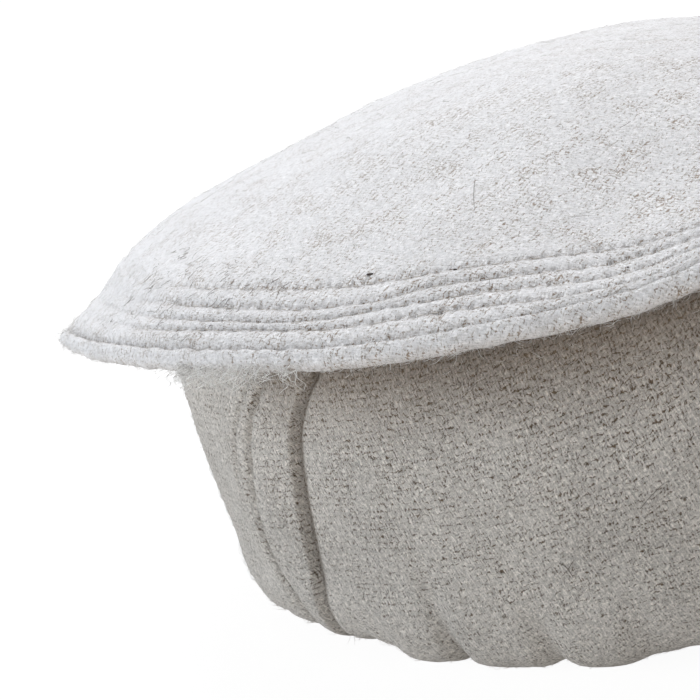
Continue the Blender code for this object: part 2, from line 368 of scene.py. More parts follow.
def make_crown():
    azimuth = np.linspace(-180.0, 180.0, CROWN_COLUMNS, endpoint=False)
    rings, grooves = [], []
    for radius, relief, drop, groove in crown_rings(azimuth):
        rings.append(crown_point(radius, azimuth, relief) - np.array((0.0, 0.0, drop)))
        grooves.append(groove * np.ones_like(azimuth))
    bead_start = len(rings)
    rings += bead_rings(azimuth)
    top_count = len(rings)
    rings += under_rings(azimuth)
    grid = np.stack(rings)
    # The cloth's own coordinates: distance from the middle along the mean meridian, on top and under it apart
    mean = np.hypot(grid[..., 0], grid[..., 1]).mean(axis=1)
    steps = np.sqrt(np.diff(mean) ** 2 + np.diff(grid[..., 2].mean(axis=1)) ** 2)
    along = mean[0] + np.concatenate([[0.0], np.cumsum(steps)])
    along[top_count:] = mean[top_count:]
    along = along[:, None]
    wrap = np.radians(np.append(azimuth, 180.0))[None]
    uv = turned_uv(along * np.sin(wrap), -along * np.cos(wrap), CROWN_WARP_TURN)
    middle = crown_top(np.zeros(1), np.zeros(1))[0]
    poles = (((0, 0, middle), (0.0, 0.0)), ((0, 0, middle - CLOTH), (0.0, 0.0)))
    crown = lattice("crown_cloth", grid, uv, poles)
    grooves.append(np.full_like(azimuth, 0.6))  # the bead's first ring still lies in the first row's groove
    grooves += [np.zeros_like(azimuth)] * (len(rings) - len(grooves))
    set_values(crown, "groove", grooves + [(0.0, 0.0)])
    # Painted shade: the bead's lower half and all that lies under the brim are painted darker
    shades = np.full(len(rings), UNDER_SHADE)
    shades[:bead_start] = 0.0
    shades[bead_start:top_count] = [BEAD_SHADE * float(smooth((2.6 - height) / 2.2)) for _, height in BEAD]
    set_values(crown, "painted_shading", [np.repeat(shades, len(azimuth)), (0.0, UNDER_SHADE)])
    return crown, grid


# The rolled band

# Its columns have counts that stay with the lap from the foot to the top, and 0 is the folded edge.
# Each row here is a stretch of them: first count, end, how many columns.
COLUMN_STRETCHES = (
    (-50.0, -20.0, 50), (-20.0, -1.2, 75), (-1.2, 0.0, 8), (0.0, 3.0, 12), (3.0, 14.0, 30),
    (14.0, 310.0, 370),
)
LAP_COUNTS = (-50.0, -14.5, -10.0, 0.0, 14.0)  # at LAP_START, the second groove, the first, the edge, LAP_END
LAP_START = -97.0
LAP_END = -32.0
REST_COUNTS = 296.0
REST_TURN = LAP_START + 360.0 - LAP_END
OUTSIDE_RINGS = 84
INSIDE_RINGS = 34
INNER_FOOT = 93.0  # radius of the band's inner side at its foot
INNER_SPREAD = 3.0  # and how much wider it is at its top


def band_profile():
    """(radius, height) down the band's outer side and up its inner one, evenly spaced on a smooth line."""
    outside = np.array([(radius, height) for height, radius in BAND_OUTSIDE])
    wall = [(radius + CLOTH - 0.2 + GAP, height) for height, radius in WALL_OUTLINE if height < 60.0]
    inside = np.array([(BAND_FOOT_INSIDE, 0.0), (wall[-1][0] + 0.5, 1.2)] + wall[-2::-1])
    return np.vstack([resample(outside, OUTSIDE_RINGS), resample(inside, INSIDE_RINGS)])


def resample(line, count):
    steps = np.hypot(*np.diff(line, axis=0).T)
    along = np.concatenate([[0.0], np.cumsum(steps)])
    at = np.linspace(0.0, along[-1], count)
    return np.stack([curve(along, line[:, 0], at), curve(along, line[:, 1], at)], axis=1)


FOLD_WIDTH = 0.95  # from the folded edge to the lap's full height
FOLD_SWELL = 0.45  # of the strip between the edge and the first groove
STRIP_SWELL = 0.4  # of the strip between the two grooves
FIRST_DEPTH = 0.95
SECOND_DEPTH = 0.85
CREASE_DEPTH = 0.9
CREASE_WIDTH = 1.5


def bell(degrees, width):
    """1 at 0 and falling to both sides, over a width in mm along the band."""
    return np.exp(-((degrees * BAND_MM_PER_DEGREE / width) ** 2))


def rising(height, low, span):
    """0 below low, 1 from low + span up, and smooth between."""
    return float(smooth((height - low) / span))


def lap_relief(behind, first, second, dimple, soften):
    """The lap's relief: behind is degrees behind its folded edge, and below 0 in front of it."""
    arc = behind * BAND_MM_PER_DEGREE
    rise = SEAM_RISE * (1.0 - smooth((behind - SEAM_FADE + 5.0) / 5.0))
    fold = np.sqrt(np.clip(1.0 - (1.0 - np.clip(arc / FOLD_WIDTH, 0.0, 1.0)) ** 2, 0.0, 1.0))
    lap = (rise + FOLD_SWELL * np.sin(np.pi * np.clip(behind / first, 0.0, 1.0)) ** 0.8) * fold
    lap = lap + STRIP_SWELL * np.sin(np.pi * np.clip((behind - first) / (second - first), 0.0, 1.0))
    lap = lap - dimple * FIRST_DEPTH * bell(behind - first, 1.0)
    lap = lap - SECOND_DEPTH * bell(behind - second, 1.0)
    crease = -CREASE_DEPTH * soften * np.exp(-((arc / CREASE_WIDTH) ** 2))
    return np.where(behind > 0.0, lap + crease * (1.0 - fold), crease)


BAND_DENTS = (  # azimuth, half width in degrees, depth, top height: folds that run up from the foot
    (-40.5, 1.5, 0.8, 22.0),
    (-31.6, 1.3, 2.2, 34.0),
    (-19.9, 1.5, 1.6, 26.0),
    (-9.5, 2.0, 1.0, 24.0),
    (7.0, 2.0, 0.8, 24.0),
    (26.0, 2.2, 0.8, 26.0),
    (51.0, 2.0, 0.9, 30.0),
    (83.0, 2.2, 0.8, 24.0),
    (118.0, 2.0, 0.9, 28.0),
    (149.0, 2.2, 0.8, 24.0),
    (-171.0, 2.0, 0.9, 28.0),
    (-136.0, 2.2, 0.8, 26.0),
    (-104.0, 2.0, 0.9, 30.0),
    (-80.0, 1.8, 0.8, 24.0),
    (-61.2, 1.2, 1.3, 20.0),
    (-53.4, 1.1, 1.4, 20.0),
)


def dents(azimuth):
    """(how near each point is to the dent's middle, its depth, its top) for each dent."""
    for middle, half, depth, top in BAND_DENTS:
        away = (azimuth - middle + 180.0) % 360.0 - 180.0
        yield np.exp(-((away / half) ** 2)), depth, top


def band_relief(azimuth, height):
    """Soft unevenness of the band's outer side, and its dents."""
    turn = np.radians(azimuth)
    own = np.random.default_rng(11)
    swell = np.zeros_like(azimuth)
    for _ in range(16):
        waves, rise = own.integers(3, 22), own.uniform(-0.09, 0.09)
        swell = swell + np.sin(waves * turn + rise * height + own.uniform(0, 6.3))
    relief = 0.11 * swell
    for near, depth, top in dents(azimuth):
        relief = relief - depth * near * (1.0 - smooth(height / top))
    return relief


def foot_lift(azimuth):
    lift = np.maximum(table(FOOT_LIFT, azimuth, 360.0), 0.0)
    for near, depth, _ in dents(azimuth):
        lift = lift + 0.9 * depth * near
    return lift


def band_painted_shading(azimuth, height, behind, first, second, dimple):
    """Painted shade on a ring of the band: darker in the crease, the grooves and under the rim. It is below 0
    where light is painted on instead, near the foot and behind the lap."""
    # Painted shade in the crease beside the lap and in the seam's two grooves
    crease = 1.0 - 0.5 * rising(height, 48.0, 12.0)
    arc = behind * BAND_MM_PER_DEGREE
    painted_shading = 1.1 * crease * np.exp(-(((arc + 0.9) / (1.1 * crease)) ** 2)) * rising(height, 8.0, 14.0)
    painted_shading = painted_shading + 0.5 * dimple * bell(behind - first, 0.8) + 0.4 * bell(behind - second, 0.8)
    # Painted shade under the rim, stronger at the front
    in_front = smooth((azimuth + 52.0) / 10.0) * smooth((100.0 - azimuth) / 60.0)
    painted_shading = painted_shading + 1.15 * rising(height, 44.0, 22.0) * in_front + 0.25 * rising(height, 58.0, 9.0)
    # Painted light: paler behind the lap, where the left lamp falls, and near the foot, where the floor's
    # light falls
    painted_side_light = smooth((behind - 3.0) / 8.0) * smooth((75.0 - behind) / 20.0)
    return painted_shading - 0.6 * (1.0 - rising(height, 0.0, 38.0)) - 0.3 * painted_side_light


def make_band():
    profile = band_profile()
    # The columns start at the lap's edge, so that the cloth's own coordinates break there
    counts = np.concatenate([np.linspace(*stretch, endpoint=False) for stretch in COLUMN_STRETCHES])
    counts = np.concatenate([counts[counts >= 0.0], counts[counts < 0.0]])
    along = np.concatenate([[0.0], np.cumsum(np.hypot(*np.diff(profile, axis=0).T))])
    foot_at = along[OUTSIDE_RINGS - 1]
    rings, uvs, painted_shading_rings = [], [], []
    for row, (radius, height) in enumerate(profile):
        level = np.array(min(max(height, 0.0), SEAM_TOP))
        edge, first, second = (float(table(line, level)) for line in (SEAM_EDGE, SEAM_FIRST, SEAM_SECOND))
        lap = np.interp(counts, LAP_COUNTS, (LAP_START, edge - second, edge - first, edge, LAP_END))
        rest = LAP_END + (counts - LAP_COUNTS[-1]) * REST_TURN / REST_COUNTS
        azimuth = np.where(counts <= LAP_COUNTS[-1], lap, rest)
        behind = edge - azimuth
        # Only the outer side has relief, and less of it where it turns in at the top and the foot
        wall = INNER_FOOT + INNER_SPREAD * min(max(height / BAND_TOP, 0.0), 1.0)
        outward = float(smooth((radius - wall) / 9.0)) if row < OUTSIDE_RINGS else 0.0
        dimple = 1.0 + 0.35 * math.sin(height * 0.9) + 0.2 * math.sin(height * 2.3 + 1.0)
        dimple = dimple + 0.7 * (1.0 - rising(height, 10.0, 22.0))
        soften = 0.4 + 0.6 * rising(height, 0.0, 18.0)
        relief = lap_relief(np.maximum(behind, -14.0), first, second, dimple, soften)
        relief = np.where(behind > 60.0, 0.0, relief)
        spread = band_relief(azimuth, np.full_like(azimuth, height))
        lift = foot_lift(azimuth) * (1.0 - smooth(height / FOOT_LIFT_HEIGHT)) + follow_lift(azimuth, height)
        rings.append(ring_point(radius + outward * (relief + spread), azimuth, height + lift))
        painted_shading_rings.append(band_painted_shading(azimuth, height, behind, first, second, dimple))
        around = np.append(azimuth, azimuth[0] + 360.0)
        around[1:] = np.where(around[1:] < azimuth[0], around[1:] + 360.0, around[1:])
        # Where the lap rises, the cloth runs further than the azimuth says
        step = np.diff(around) * BAND_MM_PER_DEGREE
        climb = np.diff(outward * np.append(relief, relief[0]))
        extra = np.concatenate([[0.0], np.cumsum(np.sqrt(step**2 + climb**2) - step)])
        over = np.append(azimuth, azimuth[0])
        rise = BAND_ROW_RISE * smooth((over + 30.0) / 30.0) * (1.0 - smooth((over - 10.0) / 90.0))
        u = BAND_MM_PER_DEGREE * around + extra
        uvs.append(turned_uv(u, foot_at - along[row] - rise, BAND_WARP_TURN))
    grid = np.stack(rings)
    band = lattice("band_cloth", grid, np.stack(uvs + uvs[:1]), closed=True)
    set_values(band, "painted_shading", painted_shading_rings)
    return band, grid


# The head wall

WALL_COLUMNS = 360
WALL_RINGS = 30


def crown_mean(radius):
    """Mean height of the crown's outer surface round a ring, without its wave and lean."""
    side, front = curve(CROWN_RADIUS, CROWN_SIDE, radius), curve(CROWN_RADIUS, CROWN_FRONT, radius)
    return RIM_HEIGHT + (side + front) / 2


def make_wall():
    azimuth = np.linspace(-180.0, 180.0, WALL_COLUMNS, endpoint=False)
    sewn_at = BRIM_FROM - GAP
    line = [(sewn_at, crown_mean(sewn_at) - CLOTH - GAP)]
    line += [(radius, height) for height, radius in WALL_OUTLINE]
    upper = resample(np.array(line), WALL_RINGS)
    along = np.gradient(upper, axis=0)
    length = np.hypot(*along.T)
    normal = np.stack([-along[:, 1], along[:, 0]], axis=1) / length[:, None]
    lower = upper + normal * (CLOTH - 0.2)
    lower[0] = (upper[0][0], upper[0][1] - CLOTH + 0.2)
    hem = (upper[-1] + lower[-1]) / 2 + (0.0, -0.5)
    section = np.vstack([hem, upper[::-1], lower])
    walk = np.concatenate([[0.0], np.cumsum(np.hypot(*np.diff(section, axis=0).T))])
    wrap = np.append(azimuth, 180.0)
    rings, uvs = [], []
    for (radius, height), way in zip(section, walk):
        sewn = float(smooth((radius - WALL_FREE) / (sewn_at - WALL_FREE)))
        radii = np.full_like(azimuth, radius)
        wave = crown_top(radii, azimuth) - crown_mean(radii)
        lift = wave * sewn + follow_lift(azimuth, height) * (1.0 - sewn)
        rings.append(ring_point(radius, azimuth, height + lift))
        uvs.append(turned_uv(HEAD_RADIUS * np.radians(wrap), np.full_like(wrap, way), BAND_WARP_TURN))
    return lattice("wall_cloth", np.stack(rings), np.stack(uvs + uvs[:1]), closed=True)


# Fibres, hairs and threads

def tubes(name, paths, radii, sides=3, pointed=True):
    """Thin closed tubes. paths is count x points x 3, radii is count x points."""
    paths = paths.copy()
    paths[..., 2] = np.maximum(paths[..., 2], 0.1)  # nothing lies under the floor
    count, steps = paths.shape[:2]
    along = np.gradient(paths, axis=1)
    along /= np.linalg.norm(along, axis=2, keepdims=True) + 1e-9
    helper = np.where(np.abs(along[..., 2:3]) > 0.8, np.array([1.0, 0, 0]), np.array([0, 0, 1.0]))
    across = np.cross(along, helper)
    across /= np.linalg.norm(across, axis=2, keepdims=True) + 1e-9
    up = np.cross(across, along)
    turns = np.arange(sides) * 2 * math.pi / sides
    ring = np.cos(turns)[:, None] * across[:, :, None] + np.sin(turns)[:, None] * up[:, :, None]
    points = paths[:, :, None] + ring * radii[:, :, None, None]
    last = steps - 1 if pointed else steps
    body = points[:, :last].reshape(count, -1, 3)
    if pointed:
        body = np.concatenate([body, paths[:, -1:]], axis=1)
    size = body.shape[1]
    faces = [tuple(range(sides - 1, -1, -1))]
    for low in range(0, (last - 1) * sides, sides):
        for side in range(sides):
            other = (side + 1) % sides
            faces.append((low + side, low + other, low + sides + other, low + sides + side))
    base = (last - 1) * sides
    if pointed:
        faces += [(base + side, base + (side + 1) % sides, size - 1) for side in range(sides)]
    else:
        faces.append(tuple(base + side for side in range(sides)))
    start = np.arange(count)[:, None] * size
    every = []
    for face in faces:
        every += (np.array(face)[None] + start).tolist()
    return make_mesh(name, body.reshape(-1, 3), every)


def grid_sample(grid, rows, columns):
    """Points and normals on a lattice at fractional rows and columns."""
    count = grid.shape[1]
    r0, c0 = np.floor(rows).astype(int), np.floor(columns).astype(int)
    r1, c1 = np.minimum(r0 + 1, grid.shape[0] - 1), (c0 + 1) % count
    c0 = c0 % count
    fr, fc = (rows - r0)[:, None], (columns - np.floor(columns))[:, None]
    a, b, c, d = grid[r0, c0], grid[r1, c0], grid[r1, c1], grid[r0, c1]
    point = (a * (1 - fr) + b * fr) * (1 - fc) + (d * (1 - fr) + c * fr) * fc
    normal = np.cross(b - a + c - d, d - a + c - b)
    normal /= np.linalg.norm(normal, axis=1, keepdims=True) + 1e-9
    return point, normal


def scatter(grid, first, last, count):
    """Even random places on the rows first to last of a lattice."""
    a, b = grid[first:last], grid[first + 1 : last + 1]
    down = np.linalg.norm(b - a, axis=2)
    side = np.linalg.norm(np.roll(a, -1, axis=1) - a, axis=2)
    area = (down * side).ravel()
    pick = rng.choice(len(area), size=count, p=area / area.sum())
    rows = first + pick // grid.shape[1] + rng.random(count)
    return rows, pick % grid.shape[1] + rng.random(count)


def fibres(name, grid, spans, length, lean, thick):
    """Short fibres on a lattice. spans is rows of (first ring, last ring, how many)."""
    places = [scatter(grid, first, last, count) for first, last, count in spans]
    rows, columns = (np.concatenate(part) for part in zip(*places))
    point, normal = grid_sample(grid, rows, columns)
    count = len(point)
    loose = rng.normal(size=(count, 3))
    side = loose - (loose * normal).sum(axis=1, keepdims=True) * normal
    side /= np.linalg.norm(side, axis=1, keepdims=True) + 1e-9
    bend = np.cross(normal, side) * rng.normal(0, 0.55, size=(count, 1))
    size = rng.uniform(*length, size=(count, 1)) * rng.uniform(0.5, 1.0, size=(count, 1))
    first_lean = rng.uniform(*lean, size=(count, 1))
    second_lean = first_lean * rng.uniform(-0.9, 0.7, size=(count, 1))
    start = point - normal * 0.12
    middle = start + size * 0.5 * (side + bend * 0.5 + normal * first_lean)
    end = middle + size * 0.5 * (side + bend + normal * second_lean)
    radii = rng.uniform(*thick, size=(count, 1)) * np.array([[1.0, 0.9, 0.2]])
    return tubes(name, np.stack([start, middle, end], axis=1), radii)


def on_crown(radius, azimuth, above=0.12):
    radius, azimuth = np.atleast_1d(np.asarray(radius, float)), np.atleast_1d(np.asarray(azimuth, float))
    return ring_point(radius, azimuth, crown_top(radius, azimuth) + above)


def make_stitches():
    """Stitch threads in the rows of the brim, on top and underneath."""
    paths = []
    count = STITCH_COUNT
    for row in range(ROW_COUNT):
        start = np.linspace(-180.0, 180.0, count, endpoint=False) + rng.normal(0, 0.06, count)
        span = 360.0 / count * STITCH_SHARE * rng.uniform(0.8, 1.12, count)
        shift = rng.normal(0, 0.09, count)
        drop = np.array((0.0, 0.0, FIRST_ROW_DROP if row == 0 else 0.0))
        for under in (False, True):
            points = []
            for share, sunk in ((0.0, -0.4), (0.22, 0.02), (0.78, 0.02), (1.0, -0.4)):
                azimuth = start + span * share + (180.0 / count if under else 0.0)
                radius = row_radius(row, azimuth) + shift
                if under:
                    radius = np.minimum(radius, UNDER_EDGE) if row == 0 else radius
                    height = crown_top(radius, azimuth) - BRIM_THICKNESS + UNDER_GROOVE - sunk
                    points.append(ring_point(radius, azimuth, height))
                else:
                    points.append(crown_point(radius, azimuth, sunk + 0.05 - ROW_DEPTH) - drop)
            paths.append(np.stack(points, axis=1))
    paths = np.concatenate(paths)
    radii = np.full(paths.shape[:2], THREAD_RADIUS)
    return tubes("stitch_threads", paths, radii, sides=4, pointed=False)


def hair_path(points, steps):
    """A smooth line of steps points through a few."""
    points = np.asarray(points, float)
    at = np.linspace(0, len(points) - 1, steps)
    keys = np.arange(len(points))
    return np.stack([curve(keys, points[:, k], at) for k in range(3)], axis=1)


CROWN_HAIRS = (  # (radius, azimuth) pairs along each hair that lies on the crown
    ((96.3, -22.7), (101.4, -21.7), (106.2, -20.6), (109.6, -20.4), (112.3, -20.4), (115.4, -20.9)),
    ((86.2, -6.2), (85.4, -5.4), (84.5, -4.8)),
    ((103.4, -14.4), (102.9, -14.3), (102.4, -14.1)),
    ((126.6, -36.7), (124.9, -36.9), (123.2, -36.4)),
    ((62.0, 40.0), (66.0, 43.0), (69.0, 44.0)),
    ((94.0, 120.0), (97.0, 121.0), (101.0, 120.5)),
    ((88.0, -150.0), (91.0, -148.0), (96.0, -147.5)),
    ((108.0, 75.0), (111.0, 76.0), (115.0, 75.5)),
)
BAND_HAIRS = (  # (azimuth, height) pairs along each hair that lies on the band
    ((-7.5, 34.3), (-6.5, 36.3), (-4.9, 38.9)),
    ((-16.2, 24.8), (-15.5, 23.5), (-15.1, 21.4)),
    ((-14.7, 25.1), (-15.6, 23.1), (-16.3, 21.9)),
)
HAIR_STEPS = 12
BAND_HAIR_COUNT = 60
CROWN_HAIR_COUNT = 45
BRIM_HAIR_COUNT = 105
BRIM_HAIR_RADII = (117.0, 137.0)
BRIM_HAIR_AZIMUTHS = (-60.0, -37.0)
HANGING_COUNT = 150
HANGING_RADIUS = 140.2
HANGING_FROM = -43.5  # azimuth where they are densest
HANGING_REACH = 13.0
SPECKS = (  # radius, azimuth, half length
    (120.8, -28.3, 0.75), (121.2, -19.8, 0.5), (119.9, -20.2, 0.42), (129.6, -4.6, 0.42),
    (122.7, -2.4, 0.4), (97.0, 88.0, 0.5), (74.0, 160.0, 0.45), (118.0, -120.0, 0.5),
)


def bowed_hair(place, out, way, size, bow, high, end):
    """A hair along way, bent sideways by bow. high and end are how far its middle and end stand off."""
    middle = place + way * size * 0.5 + np.cross(out, way) * bow + out * high
    return hair_path([place + out * 0.1, middle, place + way * size + out * end], HAIR_STEPS)


def make_hairs(band_grid, crown_grid):
    hairs = []  # (path, radius)
    for line in CROWN_HAIRS:
        points = on_crown([p[0] for p in line], [p[1] for p in line], 0.22)
        hairs.append((hair_path(points, HAIR_STEPS), 0.055))
    for line in BAND_HAIRS:
        points = [ring_point(table(BAND_OUTSIDE[::-1], height) + 0.5, turn, height) for turn, height in line]
        hairs.append((hair_path(points, HAIR_STEPS), 0.06))
    # Longer hairs on the band
    up = np.array((0, 0, 1.0))
    for place, out in zip(*grid_sample(band_grid, *scatter(band_grid, 8, 74, BAND_HAIR_COUNT))):
        turn = rng.uniform(0, 2 * math.pi)
        way = np.cross(out, up) * math.cos(turn) + up * math.sin(turn)
        size, bow = rng.uniform(2.0, 5.0), rng.normal(0, 0.8)
        hairs.append((bowed_hair(place, out, way, size, bow, 0.45, 0.15), 0.036))
    # Short curved hairs on the brim at the left
    for _ in range(BRIM_HAIR_COUNT):
        radius, azimuth = rng.uniform(*BRIM_HAIR_RADII), rng.uniform(*BRIM_HAIR_AZIMUTHS)
        turn, size, bend = rng.uniform(0.0, 2.0 * math.pi), rng.uniform(0.7, 2.6), rng.normal(0.0, 1.6)
        steps = np.linspace(-0.5, 0.5, 5)
        bow = bend * (0.25 - steps**2)
        across = steps * size * math.cos(turn) - bow * math.sin(turn)
        around = np.degrees((steps * size * math.sin(turn) + bow * math.cos(turn)) / radius)
        hairs.append((hair_path(on_crown(radius + across, azimuth + around, 0.3), HAIR_STEPS), 0.04))
    for place, out in zip(*grid_sample(crown_grid, *scatter(crown_grid, 5, 48, CROWN_HAIR_COUNT))):
        way = np.cross(out, rng.normal(size=3))
        way /= np.linalg.norm(way)
        size, bow = rng.uniform(1.5, 4.5), rng.normal(0, 0.7)
        hairs.append((bowed_hair(place, out, way, size, bow, 0.3, 0.1), 0.032))
    paths, radii = zip(*hairs)
    return tubes("dark_hairs", np.stack(paths), np.array(radii)[:, None] * np.ones(HAIR_STEPS))


def make_hanging():
    """Curly fibres that hang from the rim beside the seam."""
    paths, radii = [], []
    for _ in range(HANGING_COUNT):
        azimuth = HANGING_FROM + HANGING_REACH * rng.random() ** 1.7
        rim = RIM_HEIGHT + rim_wave(np.array(azimuth))
        start = ring_point(HANGING_RADIUS, azimuth, rim + rng.uniform(0.2, 2.2))
        drop, spread = rng.uniform(0.8, 4.6), rng.normal(0.0, 1.5)
        curl, phase = rng.uniform(0.5, 1.5), rng.uniform(0.0, 6.3)
        turns = rng.uniform(0.6, 1.7) * 2.0 * math.pi
        points = []
        for share in np.linspace(0.0, 1.0, 9):
            side = spread * share + curl * (math.sin(phase + turns * share) - math.sin(phase)) * share**0.5
            out = 0.5 + 0.5 * math.sin(phase * 2.0 + turns * share * 0.8)
            points.append(start + np.array((side, -0.7 * out * share, -drop * share)))
        paths.append(hair_path(points, 14))
        radii.append(np.linspace(0.075, 0.04, 14))
    return tubes("hanging_fibres", np.stack(paths), np.stack(radii))


def make_specks():
    """Small bits of husk caught in the wool."""
    points, faces = [], []
    rings, sides = 5, 8
    for radius, azimuth, half in SPECKS:
        centre = on_crown(radius, azimuth, 0.1)[0]
        turn = rng.uniform(0, math.pi)
        way = np.array((math.cos(turn), math.sin(turn), 0.0))
        across = np.array((-way[1], way[0], 0.0))
        base = len(points)
        points.append(centre - way * half)
        for ring in range(rings):
            share = (ring + 1) / (rings + 1)
            size = half * 0.52 * math.sin(math.pi * share) ** 0.7 * rng.uniform(0.85, 1.1)
            for side in range(sides):
                angle = side * 2 * math.pi / sides
                lift = np.array((0, 0, 1.0)) * math.sin(angle) * size * 0.7
                points.append(centre + way * half * (2 * share - 1) + across * math.cos(angle) * size + lift)
        points.append(centre + way * half)
        for side in range(sides):
            other = (side + 1) % sides
            faces.append((base, base + 1 + other, base + 1 + side))
            for ring in range(rings - 1):
                low = base + 1 + ring * sides
                faces.append((low + side, low + other, low + sides + other, low + sides + side))
            low = base + 1 + (rings - 1) * sides
            faces.append((low + side, low + other, base + 1 + rings * sides))
    return make_mesh("wool_specks", np.array(points), faces)


# Materials

YARN_OFFSETS = (0.31, 5000.7)  # keep the warp's and the weft's random numbers apart
# how strongly the painted shading of the points darkens the cloth, and where it is below 0, lightens it
PAINTED_SHADE_STRENGTH = 0.5
PAINTED_LIGHT_STRENGTH = 0.3
STITCH_HOLE_SHADE = 0.5
STITCH_HOLE_DEPTH = 1.6


class Value:
    """What a node gives out. Numbers made by nodes can be added, subtracted, multiplied and divided."""

    def __init__(self, net, socket):
        self.net = net
        self.socket = socket

    def __add__(self, other):
        return self.net.math("ADD", self, other)

    def __radd__(self, other):
        return self.net.math("ADD", other, self)

    def __sub__(self, other):
        return self.net.math("SUBTRACT", self, other)

    def __rsub__(self, other):
        return self.net.math("SUBTRACT", other, self)

    def __mul__(self, other):
        return self.net.math("MULTIPLY", self, other)

    def __truediv__(self, other):
        return self.net.math("DIVIDE", self, other)


class Net:
    """Adds nodes to a material and joins them."""

    def __init__(self, name):
        self.material = bpy.data.materials.new(name)
        self.material.use_nodes = True
        self.tree = self.material.node_tree
        self.shader = self.tree.nodes["Principled BSDF"]

    def node(self, kind, inputs=(), out=0, **settings):
        made = self.tree.nodes.new(kind)
        for key, value in settings.items():
            setattr(made, key, value)
        for key, value in dict(inputs).items():
            self.put(made.inputs[key], value)
        return Value(self, made.outputs[out])

    def put(self, socket, value):
        if isinstance(value, Value):
            self.tree.links.new(value.socket, socket)
        else:
            socket.default_value = value

    def math(self, operation, a, b=0.0, clamp=False):
        return self.node("ShaderNodeMath", {0: a, 1: b}, operation=operation, use_clamp=clamp)

    def vector(self, operation, inputs, out=0):
        return self.node("ShaderNodeVectorMath", inputs, out, operation=operation)

    def noise(self, vector, scale, detail=2.0, rough=0.5, out=0, kind="2D"):
        inputs = {"Vector": vector, "Scale": scale, "Detail": detail, "Roughness": rough}
        return self.node("ShaderNodeTexNoise", inputs, out, noise_dimensions=kind)

    def ramp(self, value, low, high, to_low=0.0, to_high=1.0):
        inputs = {"Value": value, "From Min": low, "From Max": high, "To Min": to_low, "To Max": to_high}
        return self.node("ShaderNodeMapRange", inputs, interpolation_type="SMOOTHSTEP")

    def mix(self, share, a, b):
        return self.node("ShaderNodeMix", {0: share, 6: a, 7: b}, 2, data_type="RGBA")

    def dot(self, vector, degrees, size=1.0):
        """The vector's length along a direction in the cloth, times size."""
        turn = math.radians(degrees)
        way = (math.cos(turn) * size, math.sin(turn) * size, 0.0)
        return self.vector("DOT_PRODUCT", {0: vector, 1: way}, out=1)

    def turned(self, vector, degrees, along, across):
        """Coordinates along a direction and across it, stretched apart."""
        parts = {0: self.dot(vector, degrees, along), 1: self.dot(vector, degrees + 90.0, across)}
        return self.node("ShaderNodeCombineXYZ", parts)

    def scaled(self, vector, size):
        return self.vector("SCALE", {0: vector, "Scale": size})

    def set_shader(self, **settings):
        """Set the shader's own sockets: a keyword is the socket's name with _ for each space."""
        for key, value in settings.items():
            self.put(self.shader.inputs[key.replace("_", " ")], value)


def rgb(values):
    return (values[0], values[1], values[2], 1.0)


